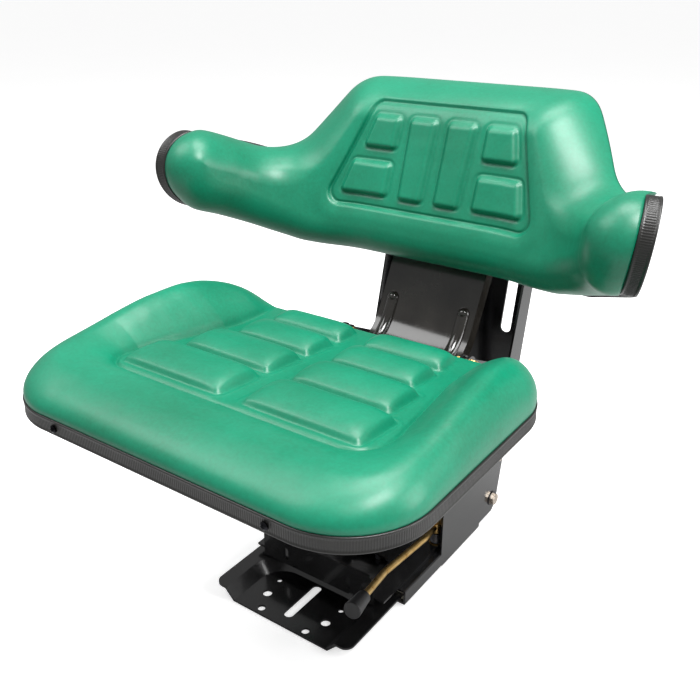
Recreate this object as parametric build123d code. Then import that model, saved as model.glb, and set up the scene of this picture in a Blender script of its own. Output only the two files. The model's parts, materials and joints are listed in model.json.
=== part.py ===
"""Mechanical suspension seat for a small tractor or riding mower.

Frame: +Z up, the occupant faces -Y, +X is the occupant's left. The origin is the centre of the
mounting hole pattern, on the underside of the base plate. Millimetres throughout.

Assembly: a base plate with edge ledges; a slide carriage that wraps the ledges and carries an
upright housing; two lower arms and two upper links that make a parallelogram; a ribbed bracket
that carries the seat cushion and the wrap-around backrest; and a lever that locks the slide.
"""
import os
from math import atan, cos, degrees, hypot, radians, sin, tan

from build123d import *

# ---------------------------------------------------------------- driving dimensions
SHEET = 3.0                    # general sheet steel thickness
PLATE = 4.0                    # bracket and arm plate thickness

# base plate
BASE_LENGTH = 320.0
LEDGE_HALF = 104.0             # outer edge of the raised ledges
LEDGE_TOP = 17.0
FLOOR_HALF = 71.0              # half width of the pressed mounting pockets
POCKET_INNER_Y = 76.0          # pockets reach from the base ends in to this distance
POCKET_CORNER = 34.0
POCKET_SLOPE = 16.0            # how far the pocket wall leans out over its height
BIG_HOLES = (46.0, 126.0, 6.0)       # x, y and radius of each mounting hole set
SMALL_HOLES = (34.5, 151.0, 5.0)
INNER_HOLES = (49.0, 98.5, 3.5)
SLOT_CENTRE_Y, SLOT_LENGTH, SLOT_HALF = 111.5, 68.0, 6.5
STOP_PIN_X, STOP_PIN_R, STOP_SHANK_R = 40.0, 5.0, 3.0
RACK_X, RACK_WIDTH, RACK_TOP = 52.0, 12.0, 21.0
RACK_PITCH, RACK_NOTCH = 15.0, 8.0
RACK_DEPTH = 6.0
RACK_FRONT, RACK_REAR = -68.0, 70.0
RIVET_YS = (-62.0, -2.0, 58.0)
RIVET_R, RIVET_DOME = 2.0, 1.2
STOP_PIN_TOP = 25.0

# carriage
SLIDE_TRAVEL = 75.0            # each way from the middle
CHANNEL_OUT = 110.0            # outer face of the channels and side plates
CHANNEL_BOTTOM, CHANNEL_TOP = 5.0, 26.0
CHANNEL_FRONT, CHANNEL_REAR = -47.0, 150.0
FLANGE_IN, LIP_IN = 80.0, 93.0
CROSS_FRONT = -80.5            # rear face of the front cross member
CROSS_BOTTOM, CROSS_TOP = 19.0, 60.0
PLATE_FRONT_Y = 42.0           # front edge of the tall side plates
HOUSING_REAR_Y, HOUSING_REAR_Z = 197.5, 10.4    # a point on the housing's rear face
HOUSING_LEAN = 67.4 / 326.1    # rearward run of that face per mm of height
HOUSING_TOP = 359.0
HOUSING_RETURN = 21.0          # depth of the return flange at the housing's top
TIE_Y, TIE_Z = 185.5, 34.0     # tie bolts low at the back
WALL_SLOT_X, WALL_SLOT_Z = 82.0, 304.0   # middles of the upright slots in the housing's rear wall
WALL_SLOT = (80.0, 15.0)                 # their length and width

# suspension linkage: A and C are on the housing, B and D on the seat bracket
ARM_LENGTH = 105.0
ARM_ANGLE = 25.0               # arms slope up by this angle when the seat is empty
LOWER_REAR = (192.0, 105.0)    # y and z of pivot A
UPPER_REAR = (208.0, 223.0)    # y and z of pivot C
ARM_IN, LINK_IN = 95.0, 86.0   # inner faces of the arms and of the bracket's link plates
PIVOT_R, BUSH_R, RUNNING = 6.0, 9.0, 0.05
SPRING_X, SPRING_R, SPRING_WIRE = 35.0, 10.0, 1.9
SPRING_TOP = (252.0, 346.0)
CROSS_TUBE_SHARE = 0.6         # how far along the arm the cross tube sits
CROSS_TUBE_R = 10.0

# seat bracket
BRACKET_HALF = 72.0
BRACKET_TOP = 258.0            # upper face of its level part
BRACKET_FRONT = -180.0
BRACKET_FLANGE = 20.0
BRACKET_BEND = 60.0
BRACKET_LEAN = radians(27.0)
BRACKET_KNEE = (145.0, 258.0)  # where the level and the leaning face would meet
BRACKET_END_Z = 475.0
RIB_X, RIB_R, RIB_RISE = 55.0, 9.0, 7.0
RIB_FRONT, RIB_TOP = -60.0, 309.0    # the ribs run from this y to this height
BOLT_R, BOLT_HOLE_R = 4.0, 4.2
RISER_X, RISER_WIDTH, RISER_WALL = 34.0, 24.0, 2.0
RISER_Y = (-172.0, -6.0)
RISER_BOLT_YS = (-155.0, -24.0)
BACK_BOLT_X, BACK_BOLT_ZS = 45.0, (402.0, 452.0)

# seat cushion
PAN_HALF, PAN_FRONT, PAN_REAR = 247.0, -327.0, 40.0
FRONT_CORNER, REAR_CORNER = 88.0, 86.0
TRIM_BOTTOM, TRIM_TOP, TRIM_THICK = 297.0, 314.0, 4.0
SCREW_X, SCREW_REAR_X = 138.0, 95.0
SCREW_Z, SCREW_HOLE_R = 305.0, 1.6
PAN_FLOOR = 283.0
CROWN_TOP = 356.0
COVER = 2.0
DISH_HALF, DISH_FRONT_Z, DISH_REAR_Z = 160.0, 338.0, 318.0

# backrest
BACK_Y, BACK_LEVEL = 241.0, 479.0    # back face in the middle, at the height of the arms
BACK_LEAN = 0.37                     # rearward run per mm of height
ARM_TIP_X, ARM_TIP_Y = 325.0, 8.0
ARM_TURN = radians(72.0)             # turn from the back face to the arm's line
BACK_RADIUS = 220.0
BACK_THICK = 66.0
BACK_TRIM = 16.0
BACK_BOTTOM, BACK_TOP, BACK_VALLEY = 371.0, 589.0, 482.0
INSERT_R = 6.5

# slide lever
LEVER_X, LEVER_Y = 92.0, 58.0
PAWL_Y = 20.0                  # the pawl's tooth
LEVER_ROD_R, LEVER_PIN_R = 4.5, 4.0
HUB_R, HUB_BOTTOM, HUB_TOP = 8.5, 48.0, 62.0
LEVER_ROD = [(92.0, 52.0, 56.0), (95.0, 22.0, 57.5), (95.0, -72.5, 66.8), (106.7, -142.5, 77.4)]
KNOB_LENGTH, KNOB_BACK_R, KNOB_FACE_R = 32.0, 8.2, 10.6
PAWL_BOTTOM, PAWL_THICK = 18.3, 4.4


# ---------------------------------------------------------------- helpers
def save(node, *shapes):
    """Write one node's solids to its STEP file."""
    solids = [solid for shape in shapes for solid in shape.solids()]
    export_step(Compound(children=solids), f"parts/{node}.step")


def both_sides(shape):
    """The shape and its mirror image across the middle plane."""
    return [shape, mirror(shape, about=Plane.YZ)]


def box(x, y, z):
    """A block from three (low, high) pairs."""
    size = [high - low for low, high in (x, y, z)]
    middle = [(high + low) / 2 for low, high in (x, y, z)]
    return Pos(*middle) * Box(*size)


def side_profile(points, x_low, x_high):
    """A plate with a (y, z) outline that fills x_low to x_high."""
    face = make_face(Polyline(*points, close=True))
    return extrude(Plane.YZ.offset(x_low) * face, x_high - x_low)


def rod_x(y, z, radius, x_low, x_high):
    """A cylinder along X."""
    return extrude(Plane.YZ.offset(x_low) * Pos(y, z) * Circle(radius), x_high - x_low)


def rod_z(x, y, radius, z_low, z_high):
    """A cylinder along Z."""
    return Pos(x, y, (z_low + z_high) / 2) * Cylinder(radius, z_high - z_low)


def ring_x(y, z, outer, inner, x_low, x_high):
    """A tube along X."""
    return rod_x(y, z, outer, x_low, x_high) - rod_x(y, z, inner, x_low, x_high)


def hexagon(across_flats, height):
    """A hexagon head with a chamfered top, its seat at z=0."""
    head = extrude(RegularPolygon(across_flats / 2, 6, major_radius=False), height)
    cone = Pos(0, 0, height / 2) * Cone(across_flats / 2 + 1.6 * height, across_flats / 2 - 0.3, height)
    return head & cone


def hex_bolt(radius, length):
    """A bolt with its head above z=0 and its shank below."""
    shank = Pos(0, 0, -length / 2) * Cylinder(radius, length)
    return hexagon(3.0 * radius + 0.6, 1.2 * radius - 0.4) + shank


def hex_nut(radius):
    """A nut that stands on z=0."""
    height = 1.1 * radius
    return hexagon(3.0 * radius + 0.6, height) - Pos(0, 0, height / 2) * Cylinder(radius + 0.05, height)


def facing(x, y, z, direction):
    """A placement whose local +Z points along direction."""
    return Plane(origin=(x, y, z), z_dir=direction)


def arm_end(start):
    """The front pivot of an arm whose rear pivot is start, with the seat empty."""
    angle = radians(ARM_ANGLE)
    return (start[0] - ARM_LENGTH * cos(angle), start[1] + ARM_LENGTH * sin(angle))


LOWER_FRONT = arm_end(LOWER_REAR)
UPPER_FRONT = arm_end(UPPER_REAR)


def housing_rear(z):
    """Y of the housing's rear face at height z."""
    return HOUSING_REAR_Y + HOUSING_LEAN * (z - HOUSING_REAR_Z)


# ---------------------------------------------------------------- base
def pocket(floor_z, top_z, half_width, inner_y, corner):
    """The space pressed into one end of the base, widening upward, for the end at -Y."""
    end = -BASE_LENGTH / 2 - 40
    outline = Pos(0, (end - inner_y) / 2) * Rectangle(2 * half_width, -inner_y - end)
    outline = fillet(outline.vertices().group_by(Axis.Y)[-1], corner)
    taper = -degrees(atan(POCKET_SLOPE / LEDGE_TOP))
    return extrude(Plane.XY.offset(floor_z) * outline, top_z - floor_z, taper=taper)


def base_plate():
    """One pressing: raised ledges and centre, with a sunk mounting pocket at each end."""
    half = BASE_LENGTH / 2
    outline = Rectangle(2 * LEDGE_HALF, BASE_LENGTH)
    plate = extrude(fillet(outline.vertices(), 12), LEDGE_TOP)
    below = box((-130, 130), (-half - 60, half + 60), (-5, LEDGE_TOP - SHEET))
    wall_shift = SHEET * 0.75
    for turn in (0, 180):
        end = Rot(0, 0, turn)
        inner = pocket(SHEET, LEDGE_TOP + 5, FLOOR_HALF, POCKET_INNER_Y, POCKET_CORNER)
        outer = pocket(0, LEDGE_TOP + 5, FLOOR_HALF + wall_shift,
                       POCKET_INNER_Y - wall_shift, POCKET_CORNER + wall_shift)
        plate -= end * inner
        below -= end * outer
    plate -= below
    for x, y, radius in (BIG_HOLES, SMALL_HOLES, INNER_HOLES):
        for sx in (-1, 1):
            for sy in (-1, 1):
                plate -= rod_z(sx * x, sy * y, radius, -5, 30)
    for sy in (-1, 1):
        slot = SlotOverall(SLOT_LENGTH, 2 * SLOT_HALF, rotation=90)
        plate -= extrude(Pos(0, sy * SLOT_CENTRE_Y, -5) * slot, 40)
    for x in (-STOP_PIN_X, STOP_PIN_X):
        plate -= rod_z(x, 0, STOP_SHANK_R, 0, 30)
    return plate


def stop_pins():
    """Two shouldered pins that end the carriage's travel, riveted through the plate."""
    under = LEDGE_TOP - SHEET
    pin = rod_z(STOP_PIN_X, 0, STOP_PIN_R, LEDGE_TOP, STOP_PIN_TOP)
    pin += rod_z(STOP_PIN_X, 0, STOP_SHANK_R, under, LEDGE_TOP)
    pin += rod_z(STOP_PIN_X, 0, STOP_SHANK_R + 1.5, under - 1.5, under)
    return both_sides(pin)


def lock_rack():
    """Notched strip on the base that the lever's pawl locks into."""
    edge = RACK_X + RACK_WIDTH
    strip = box((RACK_X, edge), (RACK_FRONT, RACK_REAR), (LEDGE_TOP, RACK_TOP))
    for i in range(-5, 4):
        y = PAWL_Y + i * RACK_PITCH
        strip -= box((edge - RACK_DEPTH, edge + 5), (y - RACK_NOTCH / 2, y + RACK_NOTCH / 2), (10, 30))
    for y in RIVET_YS:
        strip -= rod_z(RACK_X + 3, y, RIVET_R, 10, 30)
    return strip


def rack_rivets():
    """Rivets that hold the rack."""
    rivets = []
    for y in RIVET_YS:
        shank = rod_z(RACK_X + 3, y, RIVET_R, LEDGE_TOP, RACK_TOP)
        dome = Sphere(RIVET_R + 0.9) & box((-5, 5), (-5, 5), (0, RIVET_DOME))
        dome = Pos(RACK_X + 3, y, RACK_TOP) * dome
        rivets.append(shank + dome)
    return rivets


# ---------------------------------------------------------------- carriage
def channel():
    """One C section that wraps a ledge, for the +X side; the side plate takes over its outer wall."""
    wall = CHANNEL_OUT - SHEET
    y = (CHANNEL_FRONT, CHANNEL_REAR)
    section = box((wall, CHANNEL_OUT), y, (CHANNEL_BOTTOM, CHANNEL_TOP))
    section += box((LIP_IN, wall), y, (CHANNEL_BOTTOM, CHANNEL_BOTTOM + SHEET))
    section += box((FLANGE_IN, wall), y, (CHANNEL_TOP - SHEET, CHANNEL_TOP))
    outer_edges = section.edges().filter_by(Axis.Y).group_by(Axis.X)[-1]
    section = fillet(outer_edges, 2.4)
    section -= box((wall, 120), (PLATE_FRONT_Y, 200), (0, 40))
    return section - rod_z(LEVER_X, LEVER_Y, LEVER_PIN_R + RUNNING, 0, 40)


def glide_blocks():
    """Nylon blocks between the channels and the ledges, above and below."""
    blocks = []
    for y in ((-42, -4), (108, 146)):
        upper = box((84, CHANNEL_OUT - SHEET), y, (LEDGE_TOP + 0.2, CHANNEL_TOP - SHEET))
        lower_z = (CHANNEL_BOTTOM + SHEET, LEDGE_TOP - SHEET - 0.2)
        lower = box((LIP_IN, CHANNEL_OUT - SHEET - 0.5), y, lower_z)
        blocks += both_sides(upper) + both_sides(lower)
    return blocks


def deck():
    """Flat plate that ties the channels together, with lightening windows."""
    outline = Pos(0, (CROSS_FRONT + CHANNEL_REAR) / 2) * Rectangle(200, CHANNEL_REAR - CROSS_FRONT)
    for x in (-36, 36):
        for y in (-28, 32, 120):
            outline -= Pos(x, y) * RectangleRounded(56, 40, 12)
    plate = extrude(Plane.XY.offset(CHANNEL_TOP) * outline, SHEET)
    return plate - rod_z(LEVER_X, LEVER_Y, LEVER_PIN_R + RUNNING, 0, 60)


def rack_gap(y):
    """The notch that a cross member needs to pass over the rack and its rivets."""
    return box((RACK_X - 2.5, RACK_X + RACK_WIDTH + 2.5), y, (CROSS_BOTTOM - 1, CHANNEL_TOP - SHEET))


def front_cross_member():
    """Upright strip at the carriage's front, with two oval slots. It meets the stop pins."""
    height = CROSS_TOP - CROSS_BOTTOM
    outline = Pos(0, CROSS_BOTTOM + height / 2) * Rectangle(172, height)
    outline = fillet(outline.vertices().group_by(Axis.Y)[-1], 10)
    for x in (-49, 49):
        outline -= Pos(x, 35) * SlotOverall(18, 7, rotation=90)
    strip = extrude(Plane.XZ.offset(-CROSS_FRONT) * outline, SHEET)
    return strip - rack_gap((CROSS_FRONT - SHEET - 1, CROSS_FRONT + 1))


def rear_cross_member():
    """Angle strip under the deck that meets the stop pins from the other side."""
    half = FLANGE_IN - 0.5
    leg = box((-half, half), (-CROSS_FRONT, -CROSS_FRONT + SHEET), (CROSS_BOTTOM, CHANNEL_TOP))
    leg -= rack_gap((-CROSS_FRONT - 1, -CROSS_FRONT + SHEET + 1))
    return leg + box((-half, half), (-CROSS_FRONT, 100), (CHANNEL_TOP - SHEET, CHANNEL_TOP))


def side_plate():
    """Tall side plate of the carriage and housing, for the +X side."""
    rear_low, rear_high = housing_rear(20), housing_rear(HOUSING_TOP)
    points = [(PLATE_FRONT_Y, 8), (PLATE_FRONT_Y + 3, CHANNEL_BOTTOM), (151, CHANNEL_BOTTOM), (151, 11),
              (189, 11), (rear_low, 20), (rear_high, HOUSING_TOP), (rear_high - 31, HOUSING_TOP),
              (235.4, 347), (207, 238), (192, 222), (150, 176), (70, 152), (PLATE_FRONT_Y, 140)]
    plate = side_profile(points, CHANNEL_OUT - SHEET, CHANNEL_OUT)
    gusset_corners = plate.edges().filter_by(Axis.X).filter_by(lambda e: 130 < e.center().Z < 180)
    plate = fillet(gusset_corners, 14)
    for y, z in (LOWER_REAR, UPPER_REAR):
        plate -= rod_x(y, z, PIVOT_R + 0.1, 100, 120)
    return plate - rod_x(TIE_Y, TIE_Z, 5.1, 100, 120) - rod_x(*SPRING_TOP, 5.0, 100, 120)


def back_panel():
    """Rear wall of the housing, between the side plates, with a window, two slots and a return flange."""
    inner = CHANNEL_OUT - SHEET
    low, high = 22, HOUSING_TOP
    step = SHEET * hypot(1, HOUSING_LEAN)
    points = [(housing_rear(low) - step, low), (housing_rear(low), low),
              (housing_rear(high), high), (housing_rear(high) - step, high)]
    wall = side_profile(points, -inner, inner)
    flange_y = (housing_rear(high) - HOUSING_RETURN, housing_rear(high) - step)
    top = box((-inner, inner), flange_y, (high - SHEET, high))
    openings = Pos(0, 250) * RectangleRounded(60, 90, 16)
    for x in (-WALL_SLOT_X, WALL_SLOT_X):
        openings += Pos(x, WALL_SLOT_Z) * SlotOverall(*WALL_SLOT, rotation=90)
    return wall + top - extrude(Plane.XZ * openings, 400, both=True)


def tie_tube():
    """Spacer tube between the side plates, low at the back."""
    inner = CHANNEL_OUT - SHEET
    return ring_x(TIE_Y, TIE_Z, 9, 5.1, -inner, inner)


def tie_bolts():
    """Zinc-plated bolts through the side plates into the tie tube."""
    bolt = facing(CHANNEL_OUT + 1.2, TIE_Y, TIE_Z, (1, 0, 0)) * hex_bolt(5, 26)
    return both_sides(bolt)


def tie_washers():
    """Black washers under the tie bolts."""
    return both_sides(ring_x(TIE_Y, TIE_Z, 10.5, 5.1, CHANNEL_OUT, CHANNEL_OUT + 1.2))


def rear_pivot_bolts(pivot):
    """Bolts through the side plates that an arm's rear bushes turn on."""
    return both_sides(facing(CHANNEL_OUT, *pivot, (1, 0, 0)) * hex_bolt(PIVOT_R, 25))


def rear_pivot_nuts(pivot):
    """Nuts on the inner ends of those bolts."""
    return both_sides(facing(ARM_IN - 0.8, *pivot, (-1, 0, 0)) * hex_nut(PIVOT_R))


def bump_stops():
    """Rubber buffers that the bracket's link plates land on at full travel."""
    angle = radians(-20)
    y = LOWER_REAR[0] - ARM_LENGTH * cos(angle)
    z = LOWER_REAR[1] + ARM_LENGTH * sin(angle)
    stop = rod_z(LINK_IN + 2, y, 7.5, CHANNEL_TOP + SHEET, z - 14.6)
    return both_sides(fillet(stop.edges().group_by(Axis.Z)[-1], 2))


def spring_anchor():
    """Bar across the housing that the springs hang from, grooved where they hook on."""
    bar = rod_x(*SPRING_TOP, 5.0, -CHANNEL_OUT, CHANNEL_OUT)
    for x in (-SPRING_X, SPRING_X):
        bar -= ring_x(*SPRING_TOP, 6.0, 4.0, x - 2.2, x + 2.2)
    return bar


def lever_washer():
    """Washer under the lever's hub."""
    return rod_z(LEVER_X, LEVER_Y, 9, 29, 30.5) - rod_z(LEVER_X, LEVER_Y, 4.1, 28, 32)


def lever_spring():
    """Torsion spring round the lever's pivot: a stack of closed coils."""
    coils = []
    for i in range(6):
        coils.append(Pos(LEVER_X, LEVER_Y, 32.1 + 2.4 * i) * Torus(6.6, 1.2))
    stack = coils[0]
    for coil in coils[1:]:
        stack += coil
    return stack


# ---------------------------------------------------------------- suspension arms
def arm_plate(rear, front, extra=()):
    """One flat arm with round eyes, for the +X side."""
    length = hypot(front[0] - rear[0], front[1] - rear[1])
    eye = 14.0
    blank = Circle(eye) + Pos(length, 0) * Circle(eye) + Pos(length / 2, 0) * Rectangle(length, 1.5 * eye)
    blank = blank - Circle(BUSH_R) - Pos(length, 0) * Circle(BUSH_R)
    for share, radius in extra:
        blank -= Pos(share * length, 0) * Circle(radius)
    along = (0, front[0] - rear[0], front[1] - rear[1])
    placing = Plane(origin=(ARM_IN, *rear), x_dir=along, z_dir=(1, 0, 0))
    return extrude(placing * blank, PLATE)


def arm_bushes(rear, front):
    """Bronze bushes pressed into both eyes of an arm, for both sides."""
    back = ring_x(*rear, BUSH_R, PIVOT_R + RUNNING, ARM_IN - 0.5, CHANNEL_OUT - SHEET - 0.3)
    fore = ring_x(*front, BUSH_R, PIVOT_R + RUNNING, LINK_IN + PLATE + 0.3, ARM_IN + PLATE + 0.2)
    return both_sides(back) + both_sides(fore)


def cross_tube_centre():
    """Y and z of the tube that joins the lower arms."""
    return tuple(a + CROSS_TUBE_SHARE * (b - a) for a, b in zip(LOWER_REAR, LOWER_FRONT))


def cross_tube():
    """Tube that makes the two lower arms one."""
    return ring_x(*cross_tube_centre(), CROSS_TUBE_R, CROSS_TUBE_R - 2.5, -ARM_IN - PLATE, ARM_IN + PLATE)


def spring_lugs():
    """Eye plates on the cross tube that the springs' lower hooks catch."""
    y, z = cross_tube_centre()
    up = spring_direction()
    eye_y, eye_z = y + up[0] * 17, z + up[1] * 17
    lugs = []
    for x in (-SPRING_X, SPRING_X):
        blank = make_hull((Sketch() + [Pos(y, z) * Circle(9), Pos(eye_y, eye_z) * Circle(6)]).edges())
        lug = extrude(Plane.YZ.offset(x - 1.5) * blank, 3)
        lugs.append(lug - rod_x(y, z, CROSS_TUBE_R, x - 5, x + 5) - rod_x(eye_y, eye_z, 3.2, x - 5, x + 5))
    return lugs


def spring_direction():
    """Unit (y, z) from the cross tube to the spring anchor."""
    y, z = cross_tube_centre()
    dy, dz = SPRING_TOP[0] - y, SPRING_TOP[1] - z
    return dy / hypot(dy, dz), dz / hypot(dy, dz)


def spring(x):
    """Extension spring as its outer sleeve of coils, with a straight hook wire at each end."""
    y, z = cross_tube_centre()
    up = spring_direction()
    length = hypot(SPRING_TOP[0] - y, SPRING_TOP[1] - z)
    low, high = 38.0, length - 26.0
    lower_hook, upper_hook = 23.0, length - 7.5
    sleeve = Cylinder(SPRING_R, high - low)
    sleeve -= Cylinder(SPRING_R - 2 * SPRING_WIRE, high - low - 2 * SPRING_WIRE)
    body = Pos(0, 0, (low + high) / 2) * sleeve
    body += Pos(0, 0, (lower_hook + low) / 2) * Cylinder(SPRING_WIRE, low - lower_hook)
    body += Pos(0, 0, (high + upper_hook) / 2) * Cylinder(SPRING_WIRE, upper_hook - high)
    return facing(x, y, z, (0, up[0], up[1])) * body


# ---------------------------------------------------------------- seat bracket
def bracket_path(shift):
    """The bracket's bent line in the (y, z) plane, moved by shift behind its front face."""
    knee_y, knee_z = BRACKET_KNEE
    level = knee_z - shift
    slope = tan(BRACKET_LEAN)
    lean_shift = shift / cos(BRACKET_LEAN)
    back_shift = shift * hypot(1, BACK_LEAN)
    knee = knee_y + lean_shift + slope * (level - knee_z)
    top_y = BACK_Y + 0.2 + BACK_LEAN * (BRACKET_END_Z - BACK_LEVEL) + back_shift
    # the leaning run meets the backrest's run where both lines have the same y
    base = BACK_Y + 0.2 + back_shift - BACK_LEAN * BACK_LEVEL
    bend_z = (base - knee_y - lean_shift + slope * knee_z) / (slope - BACK_LEAN)
    bend_y = base + BACK_LEAN * bend_z
    return [(BRACKET_FRONT, level), (knee, level), (bend_y, bend_z), (top_y, BRACKET_END_Z)]


def bracket_strip(x_low, x_high, near, far):
    """A bent strip from near to far behind the bracket's front face."""
    middle = (near + far) / 2
    points = bracket_path(middle)
    line = FilletPolyline(*points, radius=[BRACKET_BEND + middle, 40.0])
    strip = trace(line, far - near)
    return extrude(Plane.YZ.offset(x_low) * strip, x_high - x_low)


def bracket_rib(x):
    """A half-round rib on the bracket's front face, with a domed upper end."""
    depth = RIB_R - RIB_RISE
    line = FilletPolyline(*bracket_path(depth)[:3], radius=BRACKET_BEND + depth)
    line = Plane.YZ.offset(x) * line
    bar = sweep(Plane(origin=line @ 0, z_dir=line % 0) * Circle(RIB_R), path=line)
    knee_y, knee_z = BRACKET_KNEE
    top_y = knee_y + tan(BRACKET_LEAN) * (RIB_TOP - knee_z) + depth / cos(BRACKET_LEAN)
    bar &= box((-100, 100), (RIB_FRONT, 400), (200, RIB_TOP))
    bar += Pos(x, top_y, RIB_TOP) * Sphere(RIB_R)
    return bar & bracket_strip(x - RIB_R - 1, x + RIB_R + 1, -RIB_RISE - 1, 1)


def seat_bracket():
    """Bent plate with two pressed ribs and rearward side flanges."""
    plate = bracket_strip(-BRACKET_HALF, BRACKET_HALF, 0, PLATE)
    for sx in (-1, 1):
        low, high = sorted((sx * (BRACKET_HALF - SHEET), sx * BRACKET_HALF))
        plate += bracket_strip(low, high, PLATE - 1, BRACKET_FLANGE)
        plate += bracket_rib(sx * RIB_X)
    for x, y in seat_bolt_places():
        plate -= rod_z(x, y, BOLT_HOLE_R, 240, 262)
    for origin in back_bolt_places():
        plate -= facing(*origin, back_normal()) * Cylinder(BOLT_HOLE_R, 40)
    return plate


def seat_bolt_places():
    """(x, y) of the bolts from the bracket up into the seat risers."""
    return [(sx * RISER_X, y) for sx in (-1, 1) for y in RISER_BOLT_YS]


def back_normal():
    """Unit direction straight out of the back of the backrest."""
    size = hypot(1, BACK_LEAN)
    return (0, 1 / size, -BACK_LEAN / size)


def back_bolt_places():
    """Points on the bracket's rear face where the backrest bolts sit."""
    places = []
    for x in (-BACK_BOLT_X, BACK_BOLT_X):
        for z in BACK_BOLT_ZS:
            y = BACK_Y + 0.2 + BACK_LEAN * (z - BACK_LEVEL) + PLATE * hypot(1, BACK_LEAN)
            places.append((x, y, z))
    return places


def link_plate():
    """Triangular plate that joins the bracket to both pivots, for the +X side."""
    circles = Sketch() + [Pos(*LOWER_FRONT) * Circle(14), Pos(*UPPER_FRONT) * Circle(13),
                          Pos(4, 246) * Circle(9)]
    blank = make_hull(circles.edges()) - Pos(70, 222) * Circle(17)
    plate = extrude(Plane.YZ.offset(LINK_IN) * blank, PLATE)
    for y, z in (LOWER_FRONT, UPPER_FRONT):
        plate -= rod_x(y, z, PIVOT_R + 0.1, 70, 100)
    return plate


def bracket_spacers():
    """Blocks welded between the bracket's flanges and the link plates."""
    blocks = []
    for y in (8, 72):
        blocks += both_sides(box((BRACKET_HALF, LINK_IN), (y, y + 26), (239, 254)))
    return blocks


def front_pivot_bolts(pivot):
    """Bolts through the link plates that an arm's front bushes turn on."""
    return both_sides(facing(ARM_IN + PLATE + 0.5, *pivot, (1, 0, 0)) * hex_bolt(PIVOT_R, 20))


def front_pivot_nuts(pivot):
    """Nuts on the inner ends of those bolts."""
    return both_sides(facing(LINK_IN, *pivot, (-1, 0, 0)) * hex_nut(PIVOT_R))


# ---------------------------------------------------------------- seat cushion
def seat_outline(inset):
    """Plan of the seat, drawn in by inset."""
    depth = PAN_REAR - PAN_FRONT
    plan = Pos(0, (PAN_REAR + PAN_FRONT) / 2) * Rectangle(2 * (PAN_HALF - inset), depth - 2 * inset)
    plan = fillet(plan.vertices().group_by(Axis.Y)[0], FRONT_CORNER - inset)
    return fillet(plan.vertices().sort_by(Axis.Y)[-2:], REAR_CORNER - inset)


def seat_slab(inset, low, high):
    """A slab of the seat's plan."""
    return extrude(Plane.XY.offset(low) * seat_outline(inset), high - low)


def dish(low_inset, low, rim_inset, rim, top):
    """The filled shape of the pan: sloping up from its floor to the rim, then upright."""
    floor = Plane.XY.offset(low) * seat_outline(low_inset)
    edge = Plane.XY.offset(rim) * seat_outline(rim_inset)
    slope = loft([floor, edge])
    return slope + seat_slab(rim_inset, rim, top)


def seat_pan():
    """Pressed tray under the cushion."""
    pan = dish(45, PAN_FLOOR, TRIM_THICK, 299, 312) - dish(47, PAN_FLOOR + 2.5, TRIM_THICK + 2.5, 300, 320)
    return pan


def seat_trim():
    """Plastic edge band round the pan."""
    return seat_slab(0, TRIM_BOTTOM, TRIM_TOP) - seat_slab(TRIM_THICK, TRIM_BOTTOM - 1, TRIM_TOP + 1)


def crown(inset):
    """The padded part above the trim, with raised sides and a hollow that runs out at the back."""
    body = seat_slab(inset, TRIM_TOP, CROWN_TOP - inset)
    body = fillet(body.edges().group_by(Axis.Z)[-1], 24 - inset)
    front, rear = PAN_FRONT + 78, PAN_REAR + 1
    points = [(front, DISH_FRONT_Z - inset), (rear, DISH_REAR_Z - inset), (rear, 400), (front, 400)]
    half = DISH_HALF + inset
    hollow = side_profile(points, -half, half)
    hollow = fillet(hollow.edges().filter_by(Axis.Z).group_by(Axis.Y)[0], 40)
    return body - hollow


def seat_foam():
    """Foam block that fills the pan and the cover."""
    return crown(COVER) + dish(47, PAN_FLOOR + 2.5, TRIM_THICK + 2.5, 300, TRIM_TOP)


def seat_cover():
    """Vinyl skin over the foam."""
    return crown(0) - crown(COVER)


def seat_risers():
    """Box-section rails between the bracket and the pan."""
    low_x, high_x = RISER_X - RISER_WIDTH / 2, RISER_X + RISER_WIDTH / 2
    rail = box((low_x, high_x), RISER_Y, (BRACKET_TOP, PAN_FLOOR))
    rail -= box((low_x + RISER_WALL, high_x - RISER_WALL), (RISER_Y[0] - 1, RISER_Y[1] + 1),
                (BRACKET_TOP + RISER_WALL, PAN_FLOOR - RISER_WALL))
    for y in RISER_BOLT_YS:
        rail -= rod_z(RISER_X, y, BOLT_HOLE_R, BRACKET_TOP - 5, BRACKET_TOP + 5)
    return both_sides(rail)


def seat_bolts():
    """Bolts up through the bracket and the risers."""
    seat_z = BRACKET_TOP - PLATE
    return [facing(x, y, seat_z, (0, 0, -1)) * hex_bolt(BOLT_R, 15) for x, y in seat_bolt_places()]


def seat_nuts():
    """Nuts inside the risers."""
    return [Pos(x, y, BRACKET_TOP + RISER_WALL) * hex_nut(BOLT_R) for x, y in seat_bolt_places()]


def cross_screw():
    """Pan-head screw with a cross recess, its seat at z=0."""
    head = Cylinder(4.2, 1.1, align=(Align.CENTER, Align.CENTER, Align.MIN))
    head += Pos(0, 0, 1.1 - 3.4) * (Sphere(5.4) & box((-6, 6), (-6, 6), (3.4, 5.4)))
    for turn in (0, 90):
        head -= Rot(0, 0, turn) * box((-2.3, 2.3), (-0.5, 0.5), (0.9, 4))
    return head + Pos(0, 0, -2.9) * Cylinder(SCREW_HOLE_R, 5.8)


def seat_screw_places():
    """(x, y, direction) of the screws round the seat trim."""
    places = [(sx * SCREW_X, PAN_FRONT, (0, -1, 0)) for sx in (-1, 1)]
    return places + [(sx * SCREW_REAR_X, PAN_REAR, (0, 1, 0)) for sx in (-1, 1)]


def seat_screws():
    """Screws through the trim into the pan's rim."""
    return [facing(x, y, SCREW_Z, direction) * cross_screw() for x, y, direction in seat_screw_places()]


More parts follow.
